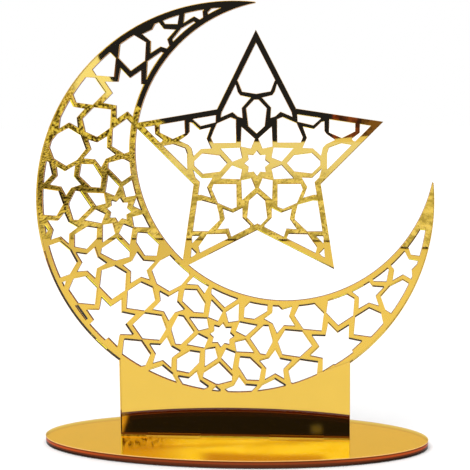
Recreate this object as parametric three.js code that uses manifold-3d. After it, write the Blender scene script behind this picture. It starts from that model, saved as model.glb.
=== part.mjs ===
// Table ornament of mirrored acrylic: a crescent moon and a five-pointed star,
// both filled with a pierced lattice, cut in one upright panel. The panel's two
// tabs drop into slots in a loose oval base plate. Each sheet is a tinted clear
// layer with a thin mirror and lacquer coat on one side.
// Millimetres, +Z up, the panel's front faces -Y, origin under the base's centre.

import * as THREE from 'three';
import { mergeVertices } from 'three/addons/utils/BufferGeometryUtils.js';
import Module from 'manifold-3d';

const wasm = await Module();
wasm.setup();

// Sheets, each with its coat included
const panelThickness = 3;
const baseThickness = 4;
const coatThickness = 0.2;

// Crescent: the moon's outer circle, and the circle that hollows it out. The hollow lies
// in the direction of hollowSide and reaches past the moon's rim there.
const moonRadius = 110;
const moonHeight = 132;
const hollowRadius = 82;
const hollowReach = 11.9531;
const hollowSide = THREE.MathUtils.degToRad(44.493);
const hornTipRadius = 0.3;
const outerRim = 3.5;
const innerRim = 3.3;

// Star, fused to the crescent at its two left tips. It stands off the hollow's centre
// in the direction of starSide.
const starTips = 5;
const starRadius = 72;
const starNotchRadius = 36.7;
const starSide = THREE.MathUtils.degToRad(201);
const starRim = 3.1;

// Pierced lattice
const strapWidth = 2.4;
const latticePitch = 64;
const latticeTilt = THREE.MathUtils.degToRad(-6.2);
const latticeRight = -6.6;
const latticeUp = -73.9;
// Holes that a rim trims to less than a square with this side are left solid
const smallestHoleSide = 1.73;
// So is the lattice hole over this point, between the star's lower tip and the rim
const solidSpotRight = -38.2;
const solidSpotUp = -26.8;
// A small three-sided hole stands on the rim at the crescent's bottom, below the lattice's own.
// Its top lies above the rim's lowest point.
const rimHoleRight = -10.4;
const rimHoleRise = 2.9;
const rimHoleWidth = 5.4;
const rimHoleHeight = 2.4;

// Stem, and the tabs that end just short of the base's underside
const stemWidth = 130;
const tabWidth = 30;
const tabSpacing = 70;
const tabShort = 0.2;

// Base
const baseLength = 217;
const baseDepth = 86;
const slotClearance = 0.3;

// Curves are drawn with chords that stay this close to the true arc
const arcTolerance = 0.02;
// Cutters reach this far past the faces that they cut
const overshoot = 1;

// The straps between the hole outlines further down, in parts of the lattice's pitch
// and of the star's radius; the holes grow or shrink from there to give strapWidth
const latticeStrapShare = 0.0375;
const starStrapShare = 0.0333;

const tintedGold = new THREE.MeshStandardMaterial({ color: 0xe9b53c, roughness: 0.06, metalness: 1 });
const coatLacquer = new THREE.MeshStandardMaterial({ color: 0x5b534a, roughness: 0.5, metalness: 0 });

// Points and outlines

const point = (x, y) => new THREE.Vector2(x, y);
const points = (pairs) => pairs.map(([x, y]) => point(x, y));
const angleOf = (from, to) => Math.atan2(to.y - from.y, to.x - from.x);
const polar = (centre, radius, angle) =>
  point(centre.x + radius * Math.cos(angle), centre.y + radius * Math.sin(angle));

// Points of an arc, both ends included; a negative sweep runs clockwise.
function arc(centre, radius, start, sweep) {
  const step = 2 * Math.acos(1 - arcTolerance / radius);
  const count = Math.ceil(Math.abs(sweep) / step);
  return Array.from({ length: count + 1 }, (_, i) => polar(centre, radius, start + (sweep * i) / count));
}

function circle(centre, radius) {
  return arc(centre, radius, 0, 2 * Math.PI).slice(0, -1);
}

function ellipse(length, depth) {
  return circle(point(0, 0), length / 2).map((p) => point(p.x, (p.y * depth) / length));
}

function rectangle(width, height, centre) {
  const [w, h] = [width / 2, height / 2];
  return points([[-w, -h], [w, -h], [w, h], [-w, h]]).map((p) => p.add(centre));
}

// A star's outline, its tips and notches in turn.
function starOutline(tips, tipRadius, notchRadius, firstTip, centre = point(0, 0)) {
  const step = Math.PI / tips;
  return Array.from({ length: 2 * tips }, (_, i) =>
    polar(centre, i % 2 ? notchRadius : tipRadius, firstTip + i * step));
}

const turned = (outline, angle) => outline.map((p) => p.clone().rotateAround(point(0, 0), angle));
const shifted = (outline, offset) => outline.map((p) => p.clone().add(offset));
const scaled = (outline, factor) => outline.map((p) => p.clone().multiplyScalar(factor));
const flipped = (outline) => outline.map((p) => point(p.x, -p.y)).reverse();
const mirrored = (outline) => outline.map((p) => point(-p.x, p.y)).reverse();

// An outline whose sides are all moved inwards by the same distance.
function inset(outline, distance) {
  const sign = THREE.ShapeUtils.area(outline) > 0 ? 1 : -1;
  const last = outline.length - 1;
  return outline.map((p, i) => {
    const before = p.clone().sub(outline[i ? i - 1 : last]).normalize();
    const after = outline[i < last ? i + 1 : 0].clone().sub(p).normalize();
    const inward = point(-before.y - after.y, before.x + after.x).multiplyScalar(sign);
    return p.clone().addScaledVector(inward, distance / (1 + before.dot(after)));
  });
}

// Solids

// A flat plate of the outline, with its underside at the given height.
function plate(outline, thickness, underside = 0) {
  const settings = { depth: thickness, bevelEnabled: false };
  const prism = new THREE.ExtrudeGeometry(new THREE.Shape(outline), settings);
  return toSolid(prism.translate(0, 0, underside));
}

// A cutter for a plate: the same outline, reaching past both of its faces.
const cutter = (outline, thickness) => plate(outline, thickness + 2 * overshoot, -overshoot);

function toSolid(geometry) {
  geometry.deleteAttribute('normal');
  geometry.deleteAttribute('uv');
  const merged = mergeVertices(geometry);
  return new wasm.Manifold(new wasm.Mesh({
    numProp: 3,
    vertProperties: new Float32Array(merged.attributes.position.array),
    triVerts: new Uint32Array(merged.index.array),
  }));
}

function toGeometry(solid) {
  const mesh = solid.getMesh();
  const geometry = new THREE.BufferGeometry();
  geometry.setAttribute('position', new THREE.BufferAttribute(mesh.vertProperties, 3));
  geometry.setIndex(new THREE.BufferAttribute(mesh.triVerts, 1));
  geometry.computeVertexNormals();
  return geometry;
}

// Lattice of the crescent. A square net has small eight-pointed stars on half of
// its knots and large ones on the other half. The outlines are those of the holes,
// in parts of the net's pitch, seen from a small star with the next large star to
// its right.

const kite = points([[0.119, 0.047], [0.208, 0.014], [0.3, 0.122], [0.143, 0.134]]);
const straightCell = points([
  [0.247, 0], [0.353, -0.127], [0.399, -0.13], [0.446, -0.012],
  [0.446, 0.012], [0.399, 0.13], [0.353, 0.127],
]);
const cornerCell = points([
  [0.177, 0.177], [0.267, 0.174], [0.375, 0.258],
  [0.366, 0.366], [0.258, 0.375], [0.174, 0.267],
]);
const fivePointCell = points([
  [0.479, 0.072], [0.53, 0.149], [0.63, 0.156], [0.567, 0.239], [0.584, 0.326],
  [0.5, 0.289], [0.415, 0.352], [0.419, 0.253], [0.35, 0.188], [0.433, 0.152],
]);
const halfOctagon = points([[0.4, 0.4], [0.499, 0.333], [0.613, 0.387], [0.667, 0.501]]);
const octagon = [...halfOctagon, ...halfOctagon.map((p) => point(1 - p.x, 1 - p.y))];
const farStraightCell = points([
  [0.493, 0], [0.545, -0.111], [0.697, -0.116], [0.796, 0], [0.697, 0.116], [0.545, 0.111],
]);
const farCornerCell = points([
  [0.86, 0.14], [0.864, 0.297], [0.754, 0.388], [0.647, 0.353], [0.612, 0.246], [0.703, 0.136],
]);
const eighthTurn = Math.PI / 4;
const smallStar = starOutline(8, 0.108, 0.076, 0);
const largeStar = starOutline(8, 0.236, 0.143, eighthTurn / 2);

const quarterTurns = (count) => Array.from({ length: count }, (_, i) => 2 * eighthTurn * i);
const around = (outline, count = 4) => quarterTurns(count).map((angle) => turned(outline, angle));

// Every hole that belongs to one small star, and to the large star on its right.
const smallStarHoles = [
  smallStar,
  ...around(kite), ...around(flipped(kite)),
  ...around(straightCell), ...around(cornerCell),
  ...around(fivePointCell), ...around(flipped(fivePointCell)),
  ...around(octagon, 2),
];
const fromLargeStar = (outline) => shifted(outline, point(-1, 0));
const largeStarHoles = [
  largeStar,
  ...around(fromLargeStar(farStraightCell)), ...around(fromLargeStar(farCornerCell)),
];

function moonHoles() {
  const reach = Math.ceil((2 * moonRadius) / latticePitch);
  const holes = [];
  for (let column = -reach; column <= reach; column += 1) {
    for (let row = -reach; row <= reach; row += 1) {
      const motif = (column + row) % 2 ? largeStarHoles : smallStarHoles;
      holes.push(...motif.map((outline) => shifted(outline, point(column, row))));
    }
  }
  const narrowing = (strapWidth - latticeStrapShare * latticePitch) / 2;
  const latticeCentre = point(latticeRight, latticeUp);
  const isInMoon = (p) => p.length() < moonRadius && p.distanceTo(hollowCentre) > hollowRadius;
  const latticeHoles = holes
    .map((outline) => turned(scaled(outline, latticePitch), latticeTilt))
    .map((outline) => shifted(outline, latticeCentre))
    .filter((outline) => outline.some(isInMoon))
    .map((outline) => inset(outline, narrowing));
  return [...latticeHoles, rimHole()];
}

function rimHole() {
  const top = outerRim + rimHoleRise - moonRadius;
  const foot = top - rimHoleHeight;
  const side = rimHoleWidth / 2;
  return points([[rimHoleRight - side, foot], [rimHoleRight + side, foot], [rimHoleRight, top]]);
}

// Holes of the star panel, in parts of its radius from the star's centre, right half
// only where a hole has a twin on the left. Some run on under the rim, which trims them.

const starSmallStar = starOutline(8, 0.096, 0.068, 0);
const starKite = points([[0.112, 0.043], [0.188, 0.013], [0.279, 0.115], [0.128, 0.121]]);
const starStraightCell = points([
  [0.228, 0], [0.283, -0.062], [0.417, -0.078], [0.481, -0.017], [0.481, 0.017], [0.417, 0.078],
  [0.283, 0.062],
]);
const starCornerCell = points([
  [0.157, 0.157], [0.333, 0.156], [0.349, 0.197], [0.303, 0.303], [0.197, 0.349], [0.156, 0.333],
]);
const starTopCell = points([
  [0, 0.525], [0.108, 0.543], [0.138, 0.619], [0.194, 0.694], [0, 1.111], [-0.194, 0.694],
  [-0.138, 0.619], [-0.108, 0.543],
]);
const starSideCells = [
  // five-pointed cells beside the top tip, in the arm and beside the bottom notch
  [
    [0.043, 0.496], [0.111, 0.421], [0.106, 0.344], [0.143, 0.356], [0.182, 0.39], [0.272, 0.351],
    [0.261, 0.404], [0.292, 0.431], [0.167, 0.639], [0.14, 0.54], [0.121, 0.514],
  ],
  [
    [0.347, 0.115], [0.425, 0.112], [0.486, 0.056], [0.5, 0.117], [0.525, 0.143], [0.594, 0.175],
    [0.529, 0.219], [0.512, 0.242], [0.512, 0.315], [0.489, 0.31], [0.433, 0.257], [0.35, 0.276],
    [0.381, 0.192],
  ],
  [
    [0.112, -0.339], [0.112, -0.415], [0.054, -0.474], [0.061, -0.521], [0.194, -0.59],
    [0.222, -0.5], [0.306, -0.507], [0.25, -0.425], [0.265, -0.346], [0.185, -0.376],
  ],
  // arm: above the lattice, across the arm, at its tip and below it
  [[0.311, 0.314], [0.428, 0.286], [0.485, 0.336], [0.469, 0.349], [0.458, 0.375], [0.307, 0.389]],
  [[0.547, 0.231], [0.643, 0.189], [0.742, 0.238], [0.743, 0.299], [0.736, 0.333], [0.549, 0.361]],
  [[0.717, 0.183], [0.728, 0.167], [0.75, 0.161], [0.889, 0.278], [0.779, 0.333], [0.776, 0.228]],
  [[0.533, 0.076], [0.532, -0.056], [0.736, 0.133], [0.639, 0.15], [0.547, 0.117]],
  // lower arm, from its root down to its tip
  [
    [0.339, -0.108], [0.383, -0.181], [0.351, -0.264], [0.431, -0.24], [0.5, -0.244],
    [0.472, -0.111], [0.492, -0.044], [0.419, -0.111],
  ],
  [
    [0.287, -0.431], [0.381, -0.522], [0.528, -0.521], [0.528, -0.289], [0.425, -0.282],
    [0.31, -0.314], [0.29, -0.396],
  ],
  [[0.228, -0.611], [0.439, -0.722], [0.456, -0.642], [0.386, -0.542], [0.24, -0.539], [0.226, -0.569]],
  [[0.447, -0.556], [0.506, -0.615], [0.507, -0.556]],
  [[0.474, -0.692], [0.518, -0.736], [0.511, -0.653]],
].map(points);

function starHoles() {
  const narrowing = (strapWidth - starStrapShare * starRadius) / 2;
  const holes = [
    starSmallStar,
    ...around(starKite), ...around(flipped(starKite)),
    ...around(starStraightCell), ...around(starCornerCell),
    starTopCell,
    ...starSideCells, ...starSideCells.map(mirrored),
  ];
  return holes
    .map((outline) => inset(scaled(outline, starRadius), narrowing))
    .map((outline) => shifted(outline, starCentre));
}

// Outlines of the panel, from the moon's centre

const moonCentre = point(0, 0);
const hollowCentre = polar(moonCentre, moonRadius + hollowReach - hollowRadius, hollowSide);
const starCentre = polar(hollowCentre, starOffset(), starSide);
const stemFoot = -moonHeight;

// How far the star stands off the hollow's centre, for its two left tips to lie in the inner rim.
function starOffset() {
  const tipsAhead = starRadius * Math.cos(Math.PI / starTips);
  const tipsAside = starRadius * Math.sin(Math.PI / starTips);
  return Math.sqrt((hollowRadius + innerRim) ** 2 - tipsAside ** 2) - tipsAhead;
}

// Centre of the small arc that rounds a horn's tip, on the given side.
function hornTipCentre(side) {
  const fromMoon = moonRadius - hornTipRadius;
  const fromHollow = hollowRadius + hornTipRadius;
  const apart = hollowCentre.length();
  const along = (fromMoon ** 2 - fromHollow ** 2 + apart ** 2) / (2 * apart);
  const across = side * Math.sqrt(fromMoon ** 2 - along ** 2);
  return point(along, across).rotateAround(moonCentre, hollowCentre.angle());
}

function moonOutline() {
  const upper = hornTipCentre(1);
  const lower = hornTipCentre(-1);
  const anticlockwise = (from, to) => THREE.MathUtils.euclideanModulo(to - from, 2 * Math.PI);
  const outer = [angleOf(moonCentre, upper), angleOf(moonCentre, lower)];
  const inner = [angleOf(hollowCentre, lower), angleOf(hollowCentre, upper)];
  const tipArc = (tip, start, end) =>
    arc(tip, hornTipRadius, start, anticlockwise(start, end)).slice(1, -1);
  return [
    ...arc(moonCentre, moonRadius, outer[0], anticlockwise(outer[0], outer[1])),
    ...tipArc(lower, outer[1], inner[0] + Math.PI),
    ...arc(hollowCentre, hollowRadius, inner[0], -anticlockwise(inner[1], inner[0])),
    ...tipArc(upper, inner[1] + Math.PI, outer[0]),
  ];
}

function stemOutline() {
  const side = stemWidth / 2;
  const head = -Math.sqrt(moonRadius ** 2 - side ** 2);
  const tabFoot = stemFoot - baseThickness + tabShort;
  const tab = (middle) => [
    [middle - tabWidth / 2, stemFoot], [middle - tabWidth / 2, tabFoot],
    [middle + tabWidth / 2, tabFoot], [middle + tabWidth / 2, stemFoot],
  ];
  return points([
    [-side, stemFoot], ...tab(-tabSpacing / 2), ...tab(tabSpacing / 2), [side, stemFoot],
    [side, head], [-side, head],
  ]);
}

const star = starOutline(starTips, starRadius, starNotchRadius, Math.PI / 2, starCentre);

// The panel's holes as one cutter: every lattice hole that lies inside the rims,
// trimmed by them, without scraps too small to cut.
function latticeCutter(thickness) {
  const moonField = cutter(circle(moonCentre, moonRadius - outerRim), thickness)
    .subtract(cutter(circle(hollowCentre, hollowRadius + innerRim), thickness));
  const starField = cutter(inset(star, starRim), thickness);
  const cut = (outlines, field) =>
    wasm.Manifold.union(outlines.map((outline) => cutter(outline, thickness))).intersect(field);
  const smallestVolume = smallestHoleSide ** 2 * (thickness + 2 * overshoot);
  const holes = [cut(moonHoles(), moonField), cut(starHoles(), starField)]
    .flatMap((solid) => solid.decompose())
    .filter((hole) => hole.volume() > smallestVolume)
    .filter((hole) => !isUnder(hole, point(solidSpotRight, solidSpotUp)));
  return wasm.Manifold.union(holes);
}

// Whether a point lies within a solid's outer limits, seen from above.
function isUnder(solid, spot) {
  const { min, max } = solid.boundingBox();
  return new THREE.Box2(point(min[0], min[1]), point(max[0], max[1])).containsPoint(spot);
}

// One layer of the upright panel, its front at y = 0 and the moon's centre above the origin.
function panelLayer(thickness) {
  const layer = [moonOutline(), star, stemOutline()]
    .map((outline) => plate(outline, thickness))
    .reduce((joined, next) => joined.add(next))
    .subtract(latticeCutter(thickness));
  return toGeometry(layer).rotateX(Math.PI / 2).translate(0, thickness, moonHeight);
}

// One layer of the base plate, lying on z = 0, with its two slots.
function baseLayer(thickness) {
  const slotLength = tabWidth + 2 * slotClearance;
  const slotWidth = panelThickness + 2 * slotClearance;
  const slots = [-1, 1].map((side) =>
    cutter(rectangle(slotLength, slotWidth, point((side * tabSpacing) / 2, 0)), thickness));
  const oval = plate(ellipse(baseLength, baseDepth), thickness);
  return toGeometry(oval.subtract(wasm.Manifold.union(slots)));
}

// Assembly

function sheetMesh(name, geometry, material) {
  const mesh = new THREE.Mesh(geometry, material);
  mesh.name = name;
  return mesh;
}

function uprightPanel() {
  const panel = new THREE.Group();
  const clear = panelThickness - coatThickness;
  const front = sheetMesh('moon_star_panel', panelLayer(clear), tintedGold);
  const back = sheetMesh('panel_mirror_coat', panelLayer(coatThickness), coatLacquer);
  front.position.y = -panelThickness / 2;
  back.position.y = front.position.y + clear;
  panel.add(front, back);
  panel.position.z = baseThickness;
  return panel;
}

function ovalBase() {
  const base = new THREE.Group();
  const top = sheetMesh('base_plate', baseLayer(baseThickness - coatThickness), tintedGold);
  const underside = sheetMesh('base_mirror_coat', baseLayer(coatThickness), coatLacquer);
  top.position.z = coatThickness;
  base.add(top, underside);
  return base;
}

const ornament = new THREE.Group();
ornament.add(ovalBase(), uprightPanel());

export default ornament;
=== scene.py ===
# Crescent and star table ornament of gold mirror acrylic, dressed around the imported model.
# Metres, +Z up. The panel's mirror side faces -Y and the base's faces up.

import math

import bmesh
import bpy
from bpy.props import FloatProperty, FloatVectorProperty, PointerProperty
from mathutils import Euler, Matrix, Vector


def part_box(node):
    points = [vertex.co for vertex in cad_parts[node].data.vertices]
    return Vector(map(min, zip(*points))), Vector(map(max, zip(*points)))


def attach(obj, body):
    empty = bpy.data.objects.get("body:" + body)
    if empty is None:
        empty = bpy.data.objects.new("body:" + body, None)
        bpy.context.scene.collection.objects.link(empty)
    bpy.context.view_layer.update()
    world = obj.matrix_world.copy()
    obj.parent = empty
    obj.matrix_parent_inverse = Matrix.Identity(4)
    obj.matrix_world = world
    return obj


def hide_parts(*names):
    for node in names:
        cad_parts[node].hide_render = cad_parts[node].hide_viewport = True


bl_info = {
    "name": "Crescent and star ornament",
    "version": (1, 0, 0),
    "blender": (4, 5, 0),
    "location": "3D View > Sidebar > Ornament",
    "description": "Dresses a mirrored acrylic crescent and star ornament and sets up its studio",
    "category": "Object",
}

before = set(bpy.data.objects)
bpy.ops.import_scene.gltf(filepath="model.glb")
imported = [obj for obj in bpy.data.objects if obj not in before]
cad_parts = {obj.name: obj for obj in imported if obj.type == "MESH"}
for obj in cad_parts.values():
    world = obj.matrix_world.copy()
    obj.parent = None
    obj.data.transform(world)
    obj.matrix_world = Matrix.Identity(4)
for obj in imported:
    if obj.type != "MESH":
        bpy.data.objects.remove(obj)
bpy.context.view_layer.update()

MM = 0.001

PANEL_BODY = "panel"
BASE_BODY = "base"
PANEL_FRONT, PANEL_BACK = (corner.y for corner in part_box("moon_star_panel"))
BASE_FILM, BASE_TOP = (corner.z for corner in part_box("base_plate"))

# Corners closer than the distance are merged, and faces that turn less than the angle are joined
MERGE_DISTANCE = 0.05 * MM
FLAT_ANGLE = math.radians(0.3)
# A face looks along an axis when its normal's share there is over this
FACING = 0.99
# A point this close to a plane lies on it
ON_PLANE = 0.05 * MM

# Sides of the bead's round section, and the turn of an edge that gets a bead
BEAD_SIDES = 6
SHARP_ANGLE = math.radians(60)
# The base's cut edge is darker, a painted shade, up to this far to either side of the middle
BASE_SHADE_MIDDLE = 90 * MM
# Painted shade on the base's film at the panel's foot, a brown strip: half its length, and its limits
# along y
FOOT_SIDE = 65.3 * MM
FOOT_SHADE_START = -1.6 * MM
FOOT_SHADE_FULL = -0.2 * MM
FOOT_SHADE_END = 3.6 * MM
# Length of that painted shade's soft ends
FOOT_SHADE_SOFT = 0.3 * MM
# The slots' walls lie within this distance of y = 0
SLOT_REACH = 3 * MM
# Share of the slots' light that also shows on their walls from outside
SLOT_GLOW = 0.2
# The light that the base's rear edge lets in fades over this far to either side of y = 0
REAR_FADE = 8 * MM
# The panel's bead starts this far above the base
BEAD_ABOVE_BASE = 0.5 * MM

# Depth of the sheets' slow waves, of the lines in a cut and of the lacquer's orange peel
WAVE_DEPTH = 0.02 * MM
LINE_DEPTH = 0.03 * MM
PEEL_DEPTH = 0.03 * MM
# Noise above these is a smudge and a scratch
SMUDGE_START = 0.52
SCRATCH_START = 0.74


# Settings

class AcrylicSettings(bpy.types.PropertyGroup):
    """Clear tinted layer of the two sheets, and the mirror film behind it."""

    dye: FloatVectorProperty(
        name="Dye", description="Colour that the tinted layer lets through",
        subtype="COLOR", size=3, min=0, max=1, default=(0.984, 0.85, 0.17),
    )
    dye_depth: FloatProperty(
        name="Dye depth", description="Strength of the dye through a whole sheet", min=0, default=1.57,
    )
    refraction: FloatProperty(
        name="Refraction", description="Index of refraction of the acrylic", min=1, default=1.49,
    )
    film: FloatVectorProperty(
        name="Film", description="Colour of the bare mirror film",
        subtype="COLOR", size=3, min=0, max=1, default=(0.95, 0.94, 0.91),
    )
    lean: FloatProperty(
        name="Lean", description="Angle that the loose panel's mirror leans forward",
        subtype="ANGLE", default=math.radians(2),
    )
    panel_bead: FloatProperty(
        name="Panel bead", description="Radius of the bead that the laser leaves along the panel's cuts",
        subtype="DISTANCE", unit="LENGTH", min=0, default=0.07 * MM,
    )
    base_bead: FloatProperty(
        name="Base bead", description="Radius of the bead along the base's cuts",
        subtype="DISTANCE", unit="LENGTH", min=0, default=0.13 * MM,
    )
    # Pale: on the bead and at the front of a cut this colour is a painted highlight
    bead: FloatVectorProperty(
        name="Bead", description="Colour of the bead along a cut",
        subtype="COLOR", size=3, min=0, max=1, default=(0.97, 0.56, 0.17),
    )
    cut: FloatVectorProperty(
        name="Cut", description="Colour of a cut edge in the clear layer",
        subtype="COLOR", size=3, min=0, max=1, default=(0.49, 0.075, 0.012),
    )
    # Painted shade of a cut edge, darker than the cut colour
    shaded_cut: FloatVectorProperty(
        name="Deep cut", description="Colour of a cut edge deep in the clear layer",
        subtype="COLOR", size=3, min=0, max=1, default=(0.105, 0.024, 0.007),
    )
    inner_cut: FloatVectorProperty(
        name="Inner cut", description="Colour of a cut edge seen from inside, where it mirrors the film",
        subtype="COLOR", size=3, min=0, max=1, default=(0.95, 0.92, 0.85),
    )
    # Painted shade where the panel stands on the base: brown on the base's film
    foot: FloatVectorProperty(
        name="Foot", description="Colour of the base's film at the foot of the panel",
        subtype="COLOR", size=3, min=0, max=1, default=(0.2, 0.09, 0.03),
    )
    # Painted light: these four colours glow by emission, not from a lamp
    slot: FloatVectorProperty(
        name="Slot", description="Light in the base's slots, seen through the clear layer",
        subtype="COLOR", size=3, min=0, max=1, default=(0.52, 0.25, 0.035),
    )
    rear_cut: FloatVectorProperty(
        name="Rear cut", description="Light that the base's rear edge lets into the clear layer",
        subtype="COLOR", size=3, min=0, max=1, default=(0.72, 0.54, 0.2),
    )
    panel_foot: FloatVectorProperty(
        name="Panel foot", description="Glow of the panel's lowest edge, seen through the clear layer",
        subtype="COLOR", size=3, min=0, max=1, default=(0.19, 0.075, 0.01),
    )
    foot_glow: FloatVectorProperty(
        name="Foot glow", description="Light that leaves the panel's lowest edge downwards",
        subtype="COLOR", size=3, min=0, max=1, default=(0.48, 0.28, 0.0),
    )
    # Near black: laser burn, and also painted shade next to the film and on the lacquer's sides
    burnt: FloatVectorProperty(
        name="Burnt", description="Colour of a cut edge where the laser burnt the film and the lacquer",
        subtype="COLOR", size=3, min=0, max=1, default=(0.016, 0.005, 0.0015),
    )
    film_gap: FloatProperty(
        name="Film gap", description="Space that keeps touching surfaces apart",
        subtype="DISTANCE", unit="LENGTH", min=0, default=0.02 * MM,
    )


class LacquerSettings(bpy.types.PropertyGroup):
    """Protective lacquer on the back of both sheets."""

    colour: FloatVectorProperty(
        name="Colour", description="Colour of the lacquer",
        subtype="COLOR", size=3, min=0, max=1, default=(0.105, 0.087, 0.069),
    )
    scuff_colour: FloatVectorProperty(
        name="Scuff colour", description="Colour of handling scuffs on the lacquer",
        subtype="COLOR", size=3, min=0, max=1, default=(0.19, 0.165, 0.14),
    )


class StudioSettings(bpy.types.PropertyGroup):
    """Camera, floor, lamps and the cards that the mirrors show."""

    camera_place: FloatVectorProperty(
        name="Camera place", description="Where the camera stands",
        subtype="TRANSLATION", unit="LENGTH", size=3, default=(0.05344, -0.59323, 0.19515),
    )
    camera_pitch: FloatProperty(
        name="Camera pitch", description="Angle that the camera looks down",
        subtype="ANGLE", default=math.radians(7.31),
    )
    camera_heading: FloatProperty(
        name="Camera heading", description="Angle that the camera turns to the left of +Y",
        subtype="ANGLE", default=math.radians(5.02),
    )
    camera_roll: FloatProperty(
        name="Camera roll", description="Turn of the camera about its line of sight",
        subtype="ANGLE", default=math.radians(-0.54),
    )
    lens: FloatProperty(name="Lens", description="Focal length on a 36 mm sensor", min=1, default=83.06)
    floor_size: FloatProperty(
        name="Floor size", description="Length of the floor's sides",
        subtype="DISTANCE", unit="LENGTH", min=1, default=12,
    )
    dome: FloatProperty(
        name="Dome", description="Strength of the soft light from all round", min=0, default=1,
    )
    sun: FloatProperty(name="Sun", description="Strength of the soft key lamp", min=0, default=1.2)
    mirrored_floor: FloatProperty(
        name="Mirrored floor", description="Brightness of the floor as the mirrors show it",
        min=0, default=1,
    )
    mirrored_room: FloatVectorProperty(
        name="Mirrored room", description="Colour of the room as the mirrors show it",
        subtype="COLOR", size=3, min=0, max=1, default=(0.9, 0.81, 0.33),
    )


# Helpers for meshes and objects

def put_in_scene(name, mesh):
    """A new object that holds the mesh."""
    piece = bpy.data.objects.new(name, mesh)
    bpy.context.collection.objects.link(piece)
    return piece


def mesh_from(name, corners, faces):
    """A new mesh of the given corners and faces."""
    mesh = bpy.data.meshes.new(name)
    mesh.from_pydata(corners, [], faces)
    mesh.update()
    return mesh


# Helpers for node trees

def add_node(tree, kind, **settings):
    """A new node; each setting is one of its properties."""
    node = tree.nodes.new(kind)
    for name, value in settings.items():
        setattr(node, name, value)
    return node


def link(tree, *pairs):
    """Links each pair of sockets."""
    for source, target in pairs:
        tree.links.new(source, target)


def feed(tree, socket, value):
    """Gives an input its value, or links it when the value is a socket."""
    if isinstance(value, bpy.types.NodeSocket):
        tree.links.new(value, socket)
    else:
        socket.default_value = value


def math_node(tree, operation, *values, clamp=False):
    """A Math node; each value is a number or a socket to link."""
    node = add_node(tree, "ShaderNodeMath", operation=operation, use_clamp=clamp)
    for socket, value in zip(node.inputs, values):
        feed(tree, socket, value)
    return node.outputs[0]


def mix_colours(tree, factor, first, second):
    """A Mix node for colours; each value is a plain value or a socket to link."""
    node = add_node(tree, "ShaderNodeMix", data_type="RGBA")
    for place, value in ((0, factor), (6, first), (7, second)):
        feed(tree, node.inputs[place], value)
    return node.outputs[2]


def ramp(tree, factor, *stops):
    """A Color Ramp; each stop is its place and its colour."""
    node = add_node(tree, "ShaderNodeValToRGB")
    elements = node.color_ramp.elements
    while len(elements) < len(stops):
        elements.new(0.5)
    for element, (place, colour) in zip(elements, stops):
        element.position = place
        element.color = (*colour, 1)
    tree.links.new(factor, node.inputs[0])
    return node.outputs[0]


def noise(tree, vector, scale, detail=2.0, roughness=0.5, distortion=0.0):
    """Noise at the given coordinates, as a value from 0 to 1."""
    node = add_node(tree, "ShaderNodeTexNoise")
    node.inputs["Scale"].default_value = scale
    node.inputs["Detail"].default_value = detail
    node.inputs["Roughness"].default_value = roughness
    node.inputs["Distortion"].default_value = distortion
    tree.links.new(vector, node.inputs["Vector"])
    return node.outputs["Fac"]


def rising(tree, value, start, end):
    """0 before start, 1 after end, and a soft step between; a falling step when end is less."""
    node = add_node(tree, "ShaderNodeMapRange", interpolation_type="SMOOTHSTEP")
    node.inputs["From Min"].default_value = start
    node.inputs["From Max"].default_value = end
    tree.links.new(value, node.inputs["Value"])
    return node.outputs[0]


def both(tree, *masks):
    """Masks multiplied together."""
    result = masks[0]
    for mask in masks[1:]:
        result = math_node(tree, "MULTIPLY", result, mask)
    return result


def object_coordinates(tree):
    """The object's own coordinates."""
    return add_node(tree, "ShaderNodeTexCoord").outputs["Object"]


def places(tree):
    """Object coordinates as a vector and as its X, Y and Z."""
    vector = object_coordinates(tree)
    parts = add_node(tree, "ShaderNodeSeparateXYZ")
    tree.links.new(vector, parts.inputs[0])
    return vector, parts.outputs["X"], parts.outputs["Y"], parts.outputs["Z"]


def stretched(tree, vector, scale, turn=(0, 0, 0)):
    """Coordinates turned and stretched, for marks that run one way."""
    node = add_node(tree, "ShaderNodeMapping")
    node.inputs["Scale"].default_value = scale
    node.inputs["Rotation"].default_value = turn
    tree.links.new(vector, node.inputs["Vector"])
    return node.outputs[0]


def bumped(tree, height, strength, depth):
    """A Bump node for a height."""
    node = add_node(tree, "ShaderNodeBump")
    node.inputs["Strength"].default_value = strength
    node.inputs["Distance"].default_value = depth
    tree.links.new(height, node.inputs["Height"])
    return node


def mirrored_rays(tree, rays):
    """1 for the rays by which the mirrors show the studio."""
    glossy, passed = (rays.outputs[name] for name in ("Is Glossy Ray", "Is Transmission Ray"))
    return math_node(tree, "MAXIMUM", glossy, passed)


def show_by_side(tree, outside, inside, output):
    """Shows one shader from outside and the other from inside the clear layer."""
    sides = add_node(tree, "ShaderNodeMixShader")
    link(
        tree,
        (add_node(tree, "ShaderNodeNewGeometry").outputs["Backfacing"], sides.inputs[0]),
        (outside.outputs[0], sides.inputs[1]),
        (inside.outputs[0], sides.inputs[2]),
        (sides.outputs[0], output.inputs["Surface"]),
    )


def new_material(name):
    """An emptied material, with its node tree and output node."""
    material = bpy.data.materials.new(name)
    material.use_nodes = True
    tree = material.node_tree
    tree.nodes.clear()
    return material, tree, add_node(tree, "ShaderNodeOutputMaterial")


def new_group(name, inputs, outputs):
    """A shader node group; inputs and outputs are pairs of socket name and type."""
    group = bpy.data.node_groups.new(name, "ShaderNodeTree")
    for socket_name, kind in inputs:
        group.interface.new_socket(socket_name, in_out="INPUT", socket_type=kind)
    for socket_name, kind in outputs:
        group.interface.new_socket(socket_name, in_out="OUTPUT", socket_type=kind)
    return group, add_node(group, "NodeGroupInput"), add_node(group, "NodeGroupOutput")


def use_group(tree, group, **values):
    """The group as a node in a tree; a value is a number or a socket to link."""
    node = add_node(tree, "ShaderNodeGroup", node_tree=group)
    for name, value in values.items():
        feed(tree, node.inputs[name], value)
    return node


# Shared shader effects

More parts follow.
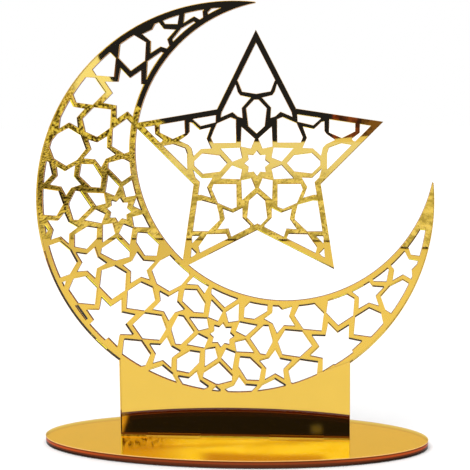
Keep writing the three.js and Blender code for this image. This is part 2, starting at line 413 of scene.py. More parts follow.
def lean_group():
    """Surface normals of a sheet that leans forward, for what its mirror shows."""
    if "Leaning sheet" in bpy.data.node_groups:
        return bpy.data.node_groups["Leaning sheet"]
    group, given, result = new_group(
        "Leaning sheet", [("Lean", "NodeSocketFloat")], [("Normal", "NodeSocketVector")])
    parts = add_node(group, "ShaderNodeSeparateXYZ")
    whole = add_node(group, "ShaderNodeCombineXYZ")
    unit = add_node(group, "ShaderNodeVectorMath", operation="NORMALIZE")
    link(group, (add_node(group, "ShaderNodeNewGeometry").outputs["Normal"], parts.inputs[0]))
    drop = math_node(group, "MULTIPLY_ADD", parts.outputs["Y"], given.outputs["Lean"], parts.outputs["Z"])
    link(
        group,
        (parts.outputs["X"], whole.inputs["X"]),
        (parts.outputs["Y"], whole.inputs["Y"]),
        (drop, whole.inputs["Z"]),
        (whole.outputs[0], unit.inputs[0]),
        (unit.outputs[0], result.inputs["Normal"]),
    )
    return group


def handling_group():
    """Smudges, hairline scratches and slow waves of a polished sheet."""
    if "Handled sheet" in bpy.data.node_groups:
        return bpy.data.node_groups["Handled sheet"]
    group, given, result = new_group(
        "Handled sheet",
        [("Vector", "NodeSocketVector"), ("Polish", "NodeSocketFloat"), ("Smudges", "NodeSocketFloat"),
         ("Scratches", "NodeSocketFloat")],
        [("Roughness", "NodeSocketFloat"), ("Height", "NodeSocketFloat")],
    )
    vector = given.outputs["Vector"]
    smudge = noise(group, vector, 34, 4, 0.62, 0.8)
    smudge = math_node(group, "SUBTRACT", smudge, SMUDGE_START, clamp=True)
    smudge = math_node(group, "MULTIPLY", smudge, given.outputs["Smudges"])
    scratches = []
    for turn, scale in ((0.4, 900), (-0.9, 1300)):
        fine = noise(group, stretched(group, vector, (1, 1, 0.02), (0, turn, 0)), scale, 1)
        scratches.append(math_node(group, "GREATER_THAN", fine, SCRATCH_START))
    scratch = math_node(group, "MAXIMUM", *scratches)
    scratch = math_node(group, "MULTIPLY", scratch, given.outputs["Scratches"])
    rough = math_node(group, "ADD", given.outputs["Polish"], smudge)
    rough = math_node(group, "ADD", rough, scratch)
    wave = noise(group, vector, 16, 1)
    link(group, (rough, result.inputs["Roughness"]), (wave, result.inputs["Height"]))
    return group


# Materials of the ornament

def wavy_normal(tree, sheet, lean):
    """Normal of a sheet with slow waves, leaning by the given angle."""
    bump = bumped(tree, sheet.outputs["Height"], 1, WAVE_DEPTH)
    leaning = use_group(tree, lean_group(), Lean=math.tan(lean))
    tree.links.new(leaning.outputs[0], bump.inputs["Normal"])
    return bump.outputs[0]


def acrylic_material(name, lean, thickness):
    """The clear dyed layer: a refracting solid, with the dye in its depth."""
    look = bpy.context.scene.ornament_acrylic
    material, tree, output = new_material(name)
    shader = add_node(tree, "ShaderNodeBsdfPrincipled")
    shader.inputs["Base Color"].default_value = (1, 1, 1, 1)
    shader.inputs["Transmission Weight"].default_value = 1
    shader.inputs["IOR"].default_value = look.refraction
    sheet = use_group(
        tree, handling_group(), Vector=object_coordinates(tree), Polish=0.0, Smudges=0.04, Scratches=0.03)
    dye = add_node(tree, "ShaderNodeVolumeAbsorption")
    dye.inputs["Color"].default_value = (*look.dye, 1)
    dye.inputs["Density"].default_value = look.dye_depth / thickness
    link(
        tree,
        (sheet.outputs["Roughness"], shader.inputs["Roughness"]),
        (wavy_normal(tree, sheet, lean), shader.inputs["Normal"]),
        (shader.outputs[0], output.inputs["Surface"]),
        (dye.outputs[0], output.inputs["Volume"]),
    )
    return material


def painted_foot_shade_mask(tree):
    """Painted shade where the base shows the panel's foot: a strip along x, under the panel and just
    behind it.
    """
    _, right, along, _ = places(tree)
    aside = math_node(tree, "ABSOLUTE", right)
    return both(
        tree, rising(tree, aside, FOOT_SIDE, FOOT_SIDE - FOOT_SHADE_SOFT),
        rising(tree, along, FOOT_SHADE_START, FOOT_SHADE_FULL), rising(tree, along, FOOT_SHADE_END, 0.0))


def film_material(name, lean, foot=False):
    """The mirror film, seen through the clear layer; the base's has a brown painted shade at the panel's
    foot.
    """
    look = bpy.context.scene.ornament_acrylic
    material, tree, output = new_material(name)
    shader = add_node(tree, "ShaderNodeBsdfPrincipled")
    shader.inputs["Metallic"].default_value = 1
    vector = object_coordinates(tree)
    cloud = noise(tree, vector, 60, 3)
    dimmer = tuple(part * 0.93 for part in look.film)
    sheet = use_group(tree, handling_group(), Vector=vector, Polish=0.012, Smudges=0.05, Scratches=0.0)
    colour = mix_colours(tree, cloud, (*dimmer, 1), (*look.film, 1))
    if foot:
        # Painted shade at the panel's foot
        colour = mix_colours(tree, painted_foot_shade_mask(tree), colour, (*look.foot, 1))
    link(
        tree,
        (colour, shader.inputs["Base Color"]),
        (sheet.outputs["Roughness"], shader.inputs["Roughness"]),
        (wavy_normal(tree, sheet, lean), shader.inputs["Normal"]),
        (shader.outputs[0], output.inputs["Surface"]),
    )
    return material


def cut_material(name, axis, front, back, in_base):
    """A cut edge: dyed acrylic seen from the side, with a painted highlight at the front, a painted shade
    band behind it, painted shade deeper in, and near black next to the film: laser burn and painted
    shade.

    The base's edge has painted shade towards the middle, and painted glows: from inside, light behind,
    dark at the front and light in its slots, faint on their walls outside.
    """
    look = bpy.context.scene.ornament_acrylic
    material, tree, output = new_material(name)
    shader = add_node(tree, "ShaderNodeBsdfPrincipled")
    shader.inputs["Specular IOR Level"].default_value = 0.06
    vector = object_coordinates(tree)
    place = add_node(tree, "ShaderNodeSeparateXYZ")
    tree.links.new(vector, place.inputs[0])
    depth = math_node(tree, "SUBTRACT", place.outputs[axis], front)
    depth = math_node(tree, "DIVIDE", depth, back - front, clamp=True)
    shade = tuple(part * 0.35 for part in look.cut)
    # Along the depth: a painted highlight at the front, a painted shade band, painted shade deeper in,
    # and near black next to the film, from laser burn and painted shade
    through = ramp(
        tree, depth, (0, look.bead), (0.06, look.bead), (0.12, shade), (0.22, shade), (0.3, look.cut),
        (0.5, look.cut), (0.6, look.shaded_cut), (0.74, look.shaded_cut), (0.82, look.burnt))
    if in_base:
        aside = math_node(tree, "ABSOLUTE", place.outputs["X"])
        # Painted shade towards the middle of the base's edge
        middle = both(tree, rising(tree, aside, BASE_SHADE_MIDDLE, BASE_SHADE_MIDDLE / 2), 0.6)
        through = mix_colours(tree, middle, through, (*look.shaded_cut, 1))
        # Painted highlight along the top of the base's edge
        edge = rising(tree, depth, 0.1, 0.06)
        through = mix_colours(tree, edge, through, (*look.bead, 1))
    grain = (1, 1, 0.03) if axis == "Z" else (1, 0.03, 1)
    line = noise(tree, stretched(tree, vector, grain), 1500, 2)
    lined = mix_colours(tree, math_node(tree, "MULTIPLY", line, 0.25), through, (*look.burnt, 1))
    if in_base:
        # Painted light seen from inside: a glow behind and in the slots, fading to a dark painted shade
        # at the front
        inside = add_node(tree, "ShaderNodeEmission")
        before = rising(tree, place.outputs["Y"], REAR_FADE, -REAR_FADE)
        light = mix_colours(tree, before, (*look.rear_cut, 1), (*look.shaded_cut, 1))
        along = math_node(tree, "ABSOLUTE", place.outputs["Y"])
        in_slot = both(
            tree, math_node(tree, "LESS_THAN", along, SLOT_REACH),
            math_node(tree, "LESS_THAN", aside, FOOT_SIDE))
        tree.links.new(mix_colours(tree, in_slot, light, (*look.slot, 1)), inside.inputs["Color"])
        # Painted glow on the slot walls from outside
        glow = tuple(part * SLOT_GLOW for part in look.slot)
        lit = mix_colours(tree, in_slot, (0, 0, 0, 1), (*glow, 1))
        tree.links.new(lit, shader.inputs["Emission Color"])
        shader.inputs["Emission Strength"].default_value = 1
    else:
        inside = add_node(tree, "ShaderNodeBsdfPrincipled")
        inside.inputs["Metallic"].default_value = 1
        inside.inputs["Roughness"].default_value = 0.04
        inside.inputs["Base Color"].default_value = (*look.inner_cut, 1)
    link(
        tree,
        (lined, shader.inputs["Base Color"]),
        (math_node(tree, "MULTIPLY_ADD", line, 0.3, 0.12), shader.inputs["Roughness"]),
        (bumped(tree, line, 0.4, LINE_DEPTH).outputs[0], shader.inputs["Normal"]),
    )
    show_by_side(tree, shader, inside, output)
    return material


def foot_material():
    """The panel's lowest edge: a mirror to the base below it with a painted glow, and a painted brown
    glow from inside.
    """
    look = bpy.context.scene.ornament_acrylic
    material, tree, output = new_material("panel foot")
    outside = add_node(tree, "ShaderNodeBsdfPrincipled")
    outside.inputs["Metallic"].default_value = 1
    outside.inputs["Base Color"].default_value = (*look.film, 1)
    # Painted light: the lowest edge glows downwards
    outside.inputs["Emission Color"].default_value = (*look.foot_glow, 1)
    outside.inputs["Emission Strength"].default_value = 1
    inside = add_node(tree, "ShaderNodeEmission")
    sheet = use_group(
        tree, handling_group(), Vector=object_coordinates(tree), Polish=0.03, Smudges=0.1, Scratches=0.0)
    # Painted glow seen from inside, from painted shade to the foot's colour
    glow = mix_colours(tree, sheet.outputs["Height"], (*look.shaded_cut, 1), (*look.panel_foot, 1))
    link(tree, (sheet.outputs["Roughness"], outside.inputs["Roughness"]), (glow, inside.inputs["Color"]))
    show_by_side(tree, outside, inside, output)
    return material


def bead_material():
    """The bead along a cut: melted and set again, glossy, and pale as a painted highlight."""
    look = bpy.context.scene.ornament_acrylic
    if "cut bead" in bpy.data.materials:
        return bpy.data.materials["cut bead"]
    material, tree, output = new_material("cut bead")
    shader = add_node(tree, "ShaderNodeBsdfPrincipled")
    pulse = noise(tree, object_coordinates(tree), 900, 3)
    deeper = tuple(part * 0.8 for part in look.bead)
    link(
        tree,
        (mix_colours(tree, pulse, (*deeper, 1), (*look.bead, 1)), shader.inputs["Base Color"]),
        (math_node(tree, "MULTIPLY_ADD", pulse, 0.2, 0.08), shader.inputs["Roughness"]),
        (shader.outputs[0], output.inputs["Surface"]),
    )
    return material


def lacquer_material(name, axis):
    """Rolled lacquer: a fine orange peel, cloudy sheen, a few scuffs, and near-black sides: laser burn
    and painted shade.

    axis is the name of the axis through the sheet.
    """
    look = bpy.context.scene.ornament_lacquer
    burnt = bpy.context.scene.ornament_acrylic.burnt
    material, tree, output = new_material(name)
    shader = add_node(tree, "ShaderNodeBsdfPrincipled")
    vector = object_coordinates(tree)
    darker = tuple(part * 0.86 for part in look.colour)
    cloud = mix_colours(tree, noise(tree, vector, 26, 4), (*darker, 1), (*look.colour, 1))
    scuff = noise(tree, stretched(tree, vector, (1, 1, 0.12), (0, 0.7, 0)), 160, 5, 0.7)
    scuff = math_node(tree, "SUBTRACT", scuff, 0.6, clamp=True)
    scuff = math_node(tree, "MULTIPLY", scuff, 5.0, clamp=True)
    peel = bumped(tree, noise(tree, vector, 1400, 2), 0.35, PEEL_DEPTH)
    rough = math_node(tree, "MULTIPLY_ADD", noise(tree, vector, 60, 3), 0.22, 0.36)
    facing = add_node(tree, "ShaderNodeSeparateXYZ")
    tree.links.new(add_node(tree, "ShaderNodeNewGeometry").outputs["True Normal"], facing.inputs[0])
    # Near-black sides: laser burn and painted shade
    side = math_node(tree, "LESS_THAN", math_node(tree, "ABSOLUTE", facing.outputs[axis]), 0.9)
    rolled = mix_colours(tree, scuff, cloud, (*look.scuff_colour, 1))
    link(
        tree,
        (mix_colours(tree, side, rolled, (*burnt, 1)), shader.inputs["Base Color"]),
        (rough, shader.inputs["Roughness"]),
        (peel.outputs[0], shader.inputs["Normal"]),
        (shader.outputs[0], output.inputs["Surface"]),
    )
    return material


# Pieces of the ornament

def cut_sheet(name, node, mirror_axis, front, film_at, shoulder=None):
    """The clear layer of a sheet: its node's shape, with room for the film.

    mirror_axis is the number of the axis through the sheet, front and film_at are its faces there,
    and shoulder is the height of a face that rests on the base and is kept just off it.
    """
    look = bpy.context.scene.ornament_acrylic
    shape = bmesh.new()
    shape.from_mesh(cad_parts[node].data)
    bmesh.ops.remove_doubles(shape, verts=shape.verts, dist=MERGE_DISTANCE)
    bmesh.ops.dissolve_limit(
        shape, angle_limit=FLAT_ANGLE, verts=shape.verts, edges=shape.edges)
    step = look.film_gap if film_at < front else -look.film_gap
    for vertex in shape.verts:
        if abs(vertex.co[mirror_axis] - film_at) < look.film_gap:
            vertex.co[mirror_axis] += step
        if shoulder is not None and abs(vertex.co.z - shoulder) < look.film_gap:
            vertex.co.z += look.film_gap
    mesh = bpy.data.meshes.new(name)
    shape.to_mesh(mesh)
    shape.free()
    return put_in_scene(name, mesh)


def lay_materials(piece, mirror_axis, back, *materials):
    """Gives a sheet its clear front, the film on its back, its cut edges and the panel's foot.

    back is 1 or -1, the way that the back faces along the axis through the sheet.
    """
    for material in materials:
        piece.data.materials.append(material)
    for face in piece.data.polygons:
        toward_back = face.normal[mirror_axis] * back
        if abs(toward_back) < FACING:
            on_base = len(materials) > 3 and abs(face.center.z - BASE_TOP) < ON_PLANE
            face.material_index = 3 if on_base and face.normal.z < -FACING else 2
        else:
            face.material_index = 1 if toward_back > 0 else 0


def bead_tree():
    """Node tree that runs a thin bead along the cut edges of a sheet's front."""
    if "Cut bead" in bpy.data.node_groups:
        return bpy.data.node_groups["Cut bead"]
    tree = bpy.data.node_groups.new("Cut bead", "GeometryNodeTree")
    inputs = (
        ("Sheet", "NodeSocketGeometry"), ("Bead radius", "NodeSocketFloat"),
        ("Through", "NodeSocketVector"), ("Front", "NodeSocketFloat"),
        ("Lowest", "NodeSocketFloat"), ("Bare half", "NodeSocketFloat"),
        ("Material", "NodeSocketMaterial"),
    )
    for name, kind in inputs:
        tree.interface.new_socket(name, in_out="INPUT", socket_type=kind)
    tree.interface.new_socket("Bead", in_out="OUTPUT", socket_type="NodeSocketGeometry")
    given = add_node(tree, "NodeGroupInput")
    result = add_node(tree, "NodeGroupOutput")
    place = add_node(tree, "GeometryNodeInputPosition").outputs[0]
    depth = add_node(tree, "ShaderNodeVectorMath", operation="DOT_PRODUCT")
    parts = add_node(tree, "ShaderNodeSeparateXYZ")
    link(
        tree,
        (place, depth.inputs[0]),
        (given.outputs["Through"], depth.inputs[1]),
        (place, parts.inputs[0]),
    )
    turn = add_node(tree, "GeometryNodeInputMeshEdgeAngle").outputs["Unsigned Angle"]
    off_front = math_node(tree, "SUBTRACT", depth.outputs["Value"], given.outputs["Front"])
    on_front = math_node(tree, "LESS_THAN", math_node(tree, "ABSOLUTE", off_front), ON_PLANE)
    sharp = math_node(tree, "GREATER_THAN", turn, SHARP_ANGLE)
    clear = math_node(tree, "GREATER_THAN", parts.outputs["Z"], given.outputs["Lowest"])
    aside, along = (math_node(tree, "ABSOLUTE", parts.outputs[way]) for way in "XY")
    off_middle = math_node(tree, "GREATER_THAN", along, SLOT_REACH)
    beyond = math_node(tree, "GREATER_THAN", aside, given.outputs["Bare half"])
    outside = math_node(tree, "MAXIMUM", off_middle, beyond)
    chosen = both(tree, on_front, sharp, clear, outside)
    path = add_node(tree, "GeometryNodeMeshToCurve")
    profile = add_node(tree, "GeometryNodeCurvePrimitiveCircle")
    profile.inputs["Resolution"].default_value = BEAD_SIDES
    tube = add_node(tree, "GeometryNodeCurveToMesh")
    tube.inputs["Fill Caps"].default_value = True
    smooth = add_node(tree, "GeometryNodeSetShadeSmooth")
    real = add_node(tree, "GeometryNodeRealizeInstances")
    coat = add_node(tree, "GeometryNodeSetMaterial")
    link(
        tree,
        (given.outputs["Sheet"], path.inputs["Mesh"]),
        (chosen, path.inputs["Selection"]),
        (given.outputs["Bead radius"], profile.inputs["Radius"]),
        (path.outputs[0], tube.inputs["Curve"]),
        (profile.outputs[0], tube.inputs["Profile Curve"]),
        (tube.outputs[0], smooth.inputs["Geometry"]),
        (smooth.outputs[0], real.inputs["Geometry"]),
        (real.outputs[0], coat.inputs["Geometry"]),
        (given.outputs["Material"], coat.inputs["Material"]),
        (coat.outputs[0], result.inputs[0]),
    )
    return tree


def cut_bead(name, sheet, radius, through, front, lowest, bare_half=-1.0):
    """The bead along a sheet's cut edges, as a plain mesh.

    through is the axis through the sheet, front is its front's place there, and lowest is the
    height over which it has a bead. Slots that lie on the x axis, within bare_half of the middle,
    have no bead.
    """
    source = put_in_scene(name + "_source", sheet.data.copy())
    maker = source.modifiers.new("Cut bead", "NODES")
    maker.node_group = bead_tree()
    values = {
        "Bead radius": radius, "Through": through, "Front": front, "Lowest": lowest,
        "Bare half": bare_half, "Material": bead_material(),
    }
    for item in maker.node_group.interface.items_tree:
        if item.name in values:
            maker[item.identifier] = values[item.name]
    source.update_tag()
    bpy.context.view_layer.update()
    result = source.evaluated_get(bpy.context.evaluated_depsgraph_get())
    mesh = bpy.data.meshes.new_from_object(result)
    source.modifiers.remove(maker)
    bpy.data.objects.remove(source)
    return put_in_scene(name, mesh)


class ORNAMENT_OT_panel(bpy.types.Operator):
    """Dresses the upright crescent and star panel"""

    bl_idname = "ornament.panel"
    bl_label = "Crescent and star panel"

    def execute(self, context):
        lean = context.scene.ornament_acrylic.lean
        piece = cut_sheet("moon_star_sheet", "moon_star_panel", 1, PANEL_FRONT, PANEL_BACK, BASE_TOP)
        lay_materials(
            piece, 1, 1, acrylic_material("panel tinted acrylic", lean, PANEL_BACK - PANEL_FRONT),
            film_material("panel mirror film", lean),
            cut_material("panel cut edge", "Y", PANEL_FRONT, PANEL_BACK, False), foot_material())
        radius = context.scene.ornament_acrylic.panel_bead
        lowest = BASE_TOP + BEAD_ABOVE_BASE
        bead = cut_bead("moon_star_bead", piece, radius, (0, 1, 0), PANEL_FRONT, lowest)
        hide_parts("moon_star_panel")
        for each in (piece, bead):
            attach(each, PANEL_BODY)
        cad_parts["panel_mirror_coat"].data.materials.clear()
        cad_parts["panel_mirror_coat"].data.materials.append(lacquer_material("panel lacquer", "Y"))
        return {"FINISHED"}


class ORNAMENT_OT_base(bpy.types.Operator):
    """Dresses the oval base plate"""

    bl_idname = "ornament.base"
    bl_label = "Oval base"

    def execute(self, context):
        piece = cut_sheet("oval_base_sheet", "base_plate", 2, BASE_TOP, BASE_FILM)
        lay_materials(
            piece, 2, -1, acrylic_material("base tinted acrylic", 0, BASE_TOP - BASE_FILM),
            film_material("base mirror film", 0, True),
            cut_material("base cut edge", "Z", BASE_TOP, BASE_FILM, True))
        radius = context.scene.ornament_acrylic.base_bead
        bead = cut_bead("oval_base_bead", piece, radius, (0, 0, 1), BASE_TOP, 0, FOOT_SIDE)
        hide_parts("base_plate")
        for each in (piece, bead):
            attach(each, BASE_BODY)
        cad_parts["base_mirror_coat"].data.materials.clear()
        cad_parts["base_mirror_coat"].data.materials.append(lacquer_material("base lacquer", "Z"))
        return {"FINISHED"}


# Studio

# The mirrors show cards behind the camera, drawn as (right, up) points in metres
# Dark card, which the panel's top and the foot of the stem show
DARK_CARD = [
    (-0.187, 0.002), (-0.003, 0.001), (0.119, 0.012), (0.138, 0.014), (0.55, 0.016), (0.55, 1),
    (-0.473, 1), (-0.473, 0.489), (-0.442, 0.345), (-0.3915, 0.165), (-0.369, 0.1235), (-0.318, 0.071),
    (-0.2766, 0.0455), (-0.24, 0.018),
]
# Bright card over the camera, which the base shows by way of the stem's mirror
WINDOW_CARD = [(-0.53, 0.352), (0.41, 0.35), (0.41, 0.464), (-0.53, 0.464)]
# Bright wall and rough box to the left of the dark card
BRIGHT_WALL = [(-0.95, 0.0745), (-0.266, 0.0745), (-0.266, 0.75), (-0.95, 0.75)]
ROUGH_BOX = [(-0.95, -0.008), (-0.163, -0.008), (-0.163, 0.0745), (-0.95, 0.0745)]
CARD_DISTANCE = -1.5
WINDOW_DISTANCE = -1.48
WALL_DISTANCE = -1.52
# The cloth on the table before the camera: where it starts, as (right, along) points, and its end
CLOTH_START = [
    (-0.9, -0.566), (-0.243, -0.5668), (-0.198, -0.5672), (-0.131, -0.564), (-0.098, -0.5634),
    (0, -0.5596), (0.05, -0.5548), (0.086, -0.545), (0.107, -0.535), (0.131, -0.5203), (0.4, -0.522),
]
CLOTH_END = -1.5
SEAM_WIDTH = 0.011
# The floor lies this far under the base's underside, and the cloth as far over that height
ABOVE_FLOOR = 0.4 * MM
FLOOR_GREY = (0.92, 0.92, 0.92, 1)
# Apparent width and turn of the key lamp
SUN_WIDTH = math.radians(40)
SUN_TURN = (math.radians(28), math.radians(-24), 0)
SENSOR_WIDTH = 36


def reflected_card(name, corners, faces, material):
    """A card of the studio that only the mirrors show."""
    piece = put_in_scene(name, mesh_from(name, corners, faces))
    piece.data.materials.append(material)
    piece.visible_camera = False
    piece.visible_diffuse = False
    piece.visible_shadow = False


def glow_material(name, colour):
    """Material of a glowing card; colour is the function that makes its colour."""
    material, tree, output = new_material(name)
    glow = add_node(tree, "ShaderNodeEmission")
    glow.inputs["Strength"].default_value = 1
    link(tree, (colour(tree), glow.inputs["Color"]), (glow.outputs[0], output.inputs["Surface"]))
    return material


def upright_card(name, outline, distance, material):
    """A card that stands behind the camera."""
    corners = [(right, distance, up) for right, up in outline]
    reflected_card(name, corners, [range(len(corners))], material)


def flat_card(name, edge, far_edge, height, material):
    """A card that lies between two lines of as many points."""
    corners = [(right, along, height) for right, along in (*edge, *far_edge)]
    count = len(edge)
    faces = [(i, i + 1, count + i + 1, count + i) for i in range(count - 1)]
    reflected_card(name, corners, faces, material)


def cloth_colour(tree):
    """Mottled cloth: darker on the left, pale and greyer on the right, brighter at its end."""
    vector, right, along, _ = places(tree)
    blotch = noise(tree, stretched(tree, vector, (3, 1, 1)), 20, 4, 0.65, 0.4)
    grain = noise(tree, stretched(tree, vector, (4.5, 0.75, 1)), 75, 1, 0.6)
    dark = ramp(
        tree, grain, (0.45, (0.004, 0.002, 0.001)), (0.47, (0.08, 0.05, 0.02)),
        (0.495, (0.45, 0.43, 0.27)), (0.53, (0.98, 1, 0.74)))
    deep = both(tree, rising(tree, along, -1.2, -1.05), rising(tree, along, -0.72, -0.85), 0.6)
    dark = mix_colours(tree, deep, dark, (0.02, 0.012, 0.005, 1))
    pale = ramp(
        tree, blotch, (0.4, (0.5, 0.52, 0.44)), (0.5, (0.86, 0.91, 0.9)), (0.6, (1.04, 1.1, 1.25)))
    speck = both(tree, rising(tree, grain, 0.45, 0.4), rising(tree, right, 0.2, 0.12))
    pale = mix_colours(tree, speck, pale, (0.38, 0.38, 0.3, 1))
    near_light = rising(tree, along, -0.78, -0.6)
    dark = mix_colours(tree, both(tree, near_light, 0.7), dark, pale)
    leaning = math_node(tree, "MULTIPLY_ADD", blotch, 0.12, right)
    colour = mix_colours(tree, rising(tree, leaning, -0.235, -0.13), dark, pale)
    far_light = both(tree, rising(tree, along, -0.935, -1.21), rising(tree, leaning, -0.235, -0.13))
    return mix_colours(tree, far_light, colour, (0.95, 1.06, 1.6, 1))


def seam_colour(tree):
    """The shade under the cloth's hem, broken here and there."""
    patches = noise(tree, object_coordinates(tree), 60, 2)
    return ramp(tree, patches, (0.48, (0.03, 0.02, 0.02)), (0.6, (0.3, 0.28, 0.2)))


def dark_colour(tree):
    """Near black, with a brown patch, a dim glow and a soft slanting side."""
    vector, right, _, up = places(tree)
    patch = both(tree, rising(tree, right, 0.056, 0.064), rising(tree, up, 0.08, 0.062))
    blotch = noise(tree, vector, 90, 3, 0.6)
    across = math_node(tree, "MULTIPLY_ADD", blotch, 0.06, right)
    across = math_node(tree, "DIVIDE", math_node(tree, "SUBTRACT", across, 0.07), 0.1, clamp=True)
    brown = ramp(
        tree, across, (0, (0.03, 0.02, 0.04)), (0.2, (0.34, 0.08, 0.06)), (0.34, (0.02, 0.015, 0.04)),
        (0.56, (0.27, 0.09, 0.09)), (0.72, (0.02, 0.015, 0.05)), (0.92, (0.22, 0.13, 0.1)))
    colour = mix_colours(tree, patch, (0.018, 0.023, 0.1, 1), brown)
    glow = both(
        tree, rising(tree, right, 0.009, 0.026), rising(tree, right, 0.044, 0.031),
        rising(tree, up, 0.573, 0.585), rising(tree, up, 0.602, 0.591))
    colour = mix_colours(tree, glow, colour, (0.16, 0.22, 0.5, 1))
    slant = math_node(tree, "MULTIPLY_ADD", up, 0.3, right)
    side = both(tree, rising(tree, slant, -0.183, -0.195), rising(tree, up, 0.478, 0.498))
    return mix_colours(tree, side, colour, (0.95, 0.9, 0.6, 1))


def wall_colour(tree):
    """Pale wall, golden and grainy towards its foot."""
    vector, right, _, up = places(tree)
    grain = noise(tree, vector, 230, 1)
    foot = ramp(tree, grain, (0.4, (0.2, 0.17, 0.08)), (0.5, (0.75, 0.7, 0.4)), (0.6, (1, 1.05, 1)))
    ragged = noise(tree, vector, 40, 2)
    low = rising(tree, math_node(tree, "MULTIPLY_ADD", ragged, 0.04, up), 0.12, 0.1)
    rim = both(
        tree, rising(tree, math_node(tree, "MULTIPLY_ADD", ragged, 0.02, right), -0.425, -0.445),
        rising(tree, math_node(tree, "MULTIPLY_ADD", ragged, 0.04, up), 0.185, 0.155))
    grainy = math_node(tree, "MAXIMUM", low, rim)
    return mix_colours(tree, grainy, (1.08, 1.25, 1.8, 1), foot)


def rough_colour(tree):
    """Olive grain with dark specks."""
    grain = noise(tree, object_coordinates(tree), 230, 1)
    return ramp(
        tree, grain, (0.41, (0.02, 0.015, 0.01)), (0.5, (0.4, 0.39, 0.22)), (0.59, (0.98, 1.05, 0.68)))


def window_colour(tree):
    """Bright card with a thin slanting streak, specks on the left and a dim arch above."""
    vector, right, _, up = places(tree)
    soft = noise(tree, stretched(tree, vector, (1, 1, 3)), 14, 3, 0.6, 0.5)
    colour = ramp(tree, soft, (0.3, (1.25, 1.55, 0.5)), (0.6, (1.45, 2, 1.2)))
    left = rising(tree, right, -0.19, -0.31)
    colour = mix_colours(tree, left, colour, (0.95, 0.93, 0.4, 1))
    speck = rising(tree, noise(tree, stretched(tree, vector, (1, 1, 0.6)), 280, 1), 0.53, 0.58)
    specks = both(tree, speck, rising(tree, right, -0.25, -0.3), rising(tree, up, 0.398, 0.39))
    colour = mix_colours(tree, specks, colour, (0.12, 0.06, 0.02, 1))
    level = math_node(tree, "MULTIPLY_ADD", right, 0.066, up)
    streak = both(tree, rising(tree, level, 0.3725, 0.3755), rising(tree, level, 0.3805, 0.3775), 0.6)
    colour = mix_colours(tree, streak, colour, (0.7, 0.5, 0.3, 1))
    arch = both(
        tree, rising(tree, up, 0.3985, 0.4085), rising(tree, right, -0.215, -0.175),
        rising(tree, right, 0.06, 0.03))
    return mix_colours(tree, arch, colour, (0.84, 0.76, 0.4, 1))


def floor_colour(tree):
    """Even floor with a soft shade before the cloth, deeper on the left."""
    _, right, along, _ = places(tree)
    near = both(tree, rising(tree, along, -0.33, -0.52), 0.14)
    colour = mix_colours(tree, near, (1, 1, 1, 1), (0.4, 0.4, 0.4, 1))
    left = both(tree, rising(tree, along, -0.3, -0.5), rising(tree, right, -0.03, -0.13), 0.16)
    return mix_colours(tree, left, colour, (0.3, 0.3, 0.3, 1))


def floor_material(studio):
    """Pale floor that keeps the object's shadow and shows plain in the mirrors."""
    material, tree, output = new_material("pale floor")
    matte = add_node(tree, "ShaderNodeBsdfDiffuse")
    matte.inputs["Color"].default_value = FLOOR_GREY
    glow = add_node(tree, "ShaderNodeEmission")
    tree.links.new(floor_colour(tree), glow.inputs["Color"])
    glow.inputs["Strength"].default_value = studio.mirrored_floor
    rays = add_node(tree, "ShaderNodeLightPath")
    mirrored = mirrored_rays(tree, rays)
    choice = add_node(tree, "ShaderNodeMixShader")
    link(
        tree,
        (mirrored, choice.inputs[0]),
        (matte.outputs[0], choice.inputs[1]),
        (glow.outputs[0], choice.inputs[2]),
        (choice.outputs[0], output.inputs["Surface"]),
    )
    return material


def light_room(studio):
    """White for the camera, a pale room for the mirrors and a soft dome for the rest."""
    world = bpy.data.worlds.new("studio")
    world.use_nodes = True
    bpy.context.scene.world = world
    tree = world.node_tree
    tree.nodes.clear()
    output = add_node(tree, "ShaderNodeOutputWorld")
    light = add_node(tree, "ShaderNodeBackground")
    rays = add_node(tree, "ShaderNodeLightPath")
    mirrored = mirrored_rays(tree, rays)
    dome = (studio.dome, studio.dome, studio.dome, 1)
    unseen = mix_colours(tree, mirrored, dome, (*studio.mirrored_room, 1))
    link(
        tree,
        (mix_colours(tree, rays.outputs["Is Camera Ray"], unseen, (1, 1, 1, 1)), light.inputs["Color"]),
        (light.outputs[0], output.inputs["Surface"]),
    )
    sun = bpy.data.objects.new("key_lamp", bpy.data.lights.new("key lamp", "SUN"))
    sun.data.energy = studio.sun
    sun.data.angle = SUN_WIDTH
    sun.rotation_euler = SUN_TURN
    sun.visible_glossy = False
    bpy.context.collection.objects.link(sun)


def place_camera(studio):
    """Sets up the camera at the place and angles of the settings."""
    camera = bpy.data.objects.new("camera", bpy.data.cameras.new("camera"))
    camera.data.sensor_width = SENSOR_WIDTH
    camera.data.lens = studio.lens
    camera.location = studio.camera_place
    aim = Euler((math.radians(90) - studio.camera_pitch, 0, studio.camera_heading)).to_matrix()
    camera.rotation_euler = (aim @ Matrix.Rotation(studio.camera_roll, 3, "Z")).to_euler()
    bpy.context.collection.objects.link(camera)
    bpy.context.scene.camera = camera


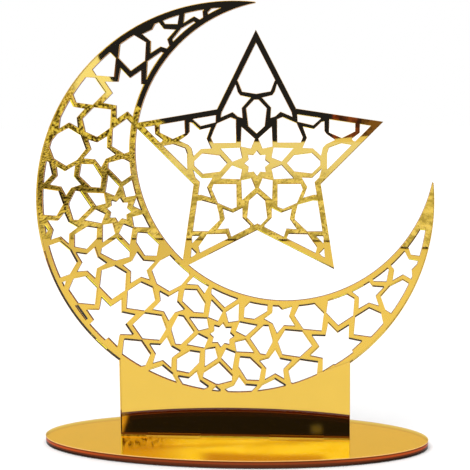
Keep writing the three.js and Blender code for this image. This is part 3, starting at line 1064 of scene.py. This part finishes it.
class ORNAMENT_OT_studio(bpy.types.Operator):
    """Sets up the camera, the floor, the light and the cards that the mirrors show"""

    bl_idname = "ornament.studio"
    bl_label = "Studio"

    def execute(self, context):
        studio = context.scene.ornament_studio
        half = studio.floor_size / 2
        square = ((-half, -half), (half, -half), (half, half), (-half, half))
        corners = [(right, along, -ABOVE_FLOOR) for right, along in square]
        floor = put_in_scene("floor", mesh_from("floor", corners, [range(4)]))
        floor.data.materials.append(floor_material(studio))
        upright_card("dark_card", DARK_CARD, CARD_DISTANCE, glow_material("dark card", dark_colour))
        upright_card(
            "window_card", WINDOW_CARD, WINDOW_DISTANCE, glow_material("window card", window_colour))
        upright_card("bright_wall", BRIGHT_WALL, WALL_DISTANCE, glow_material("bright wall", wall_colour))
        upright_card("rough_box", ROUGH_BOX, WALL_DISTANCE, glow_material("rough box", rough_colour))
        cloth_end = [(right, CLOTH_END) for right, _ in CLOTH_START]
        flat_card("cloth", CLOTH_START, cloth_end, ABOVE_FLOOR, glow_material("cloth", cloth_colour))
        seam_near = [(right, along + SEAM_WIDTH / 2) for right, along in CLOTH_START[1:]]
        seam_far = [(right, along - SEAM_WIDTH / 2) for right, along in CLOTH_START[1:]]
        flat_card(
            "cloth_seam", seam_near, seam_far, 2 * ABOVE_FLOOR, glow_material("seam shade", seam_colour))
        light_room(studio)
        place_camera(studio)
        context.scene.view_settings.view_transform = "Standard"
        return {"FINISHED"}


class ORNAMENT_PT_sidebar(bpy.types.Panel):
    """Lists the ornament's pieces and its settings"""

    bl_idname = "ORNAMENT_PT_sidebar"
    bl_label = "Ornament"
    bl_space_type = "VIEW_3D"
    bl_region_type = "UI"
    bl_category = "Ornament"

    def draw(self, context):
        for operator in PIECE_OPERATORS:
            self.layout.operator(operator.bl_idname)
        scene = context.scene
        for settings in (scene.ornament_acrylic, scene.ornament_lacquer, scene.ornament_studio):
            box = self.layout.box()
            for name in settings.__annotations__:
                box.prop(settings, name)


PIECE_OPERATORS = (ORNAMENT_OT_studio, ORNAMENT_OT_panel, ORNAMENT_OT_base)
CLASSES = (AcrylicSettings, LacquerSettings, StudioSettings, *PIECE_OPERATORS, ORNAMENT_PT_sidebar)


def register():
    """Registers the classes and hangs their settings on the scene."""
    for each in CLASSES:
        bpy.utils.register_class(each)
    bpy.types.Scene.ornament_acrylic = PointerProperty(type=AcrylicSettings)
    bpy.types.Scene.ornament_lacquer = PointerProperty(type=LacquerSettings)
    bpy.types.Scene.ornament_studio = PointerProperty(type=StudioSettings)


def unregister():
    """Undoes what register does."""
    del bpy.types.Scene.ornament_acrylic
    del bpy.types.Scene.ornament_lacquer
    del bpy.types.Scene.ornament_studio
    for each in reversed(CLASSES):
        bpy.utils.unregister_class(each)


def main():
    """Builds the studio and dresses the ornament."""
    register()
    bpy.ops.ornament.studio()
    bpy.ops.ornament.panel()
    bpy.ops.ornament.base()


if __name__ == "__main__":
    main()
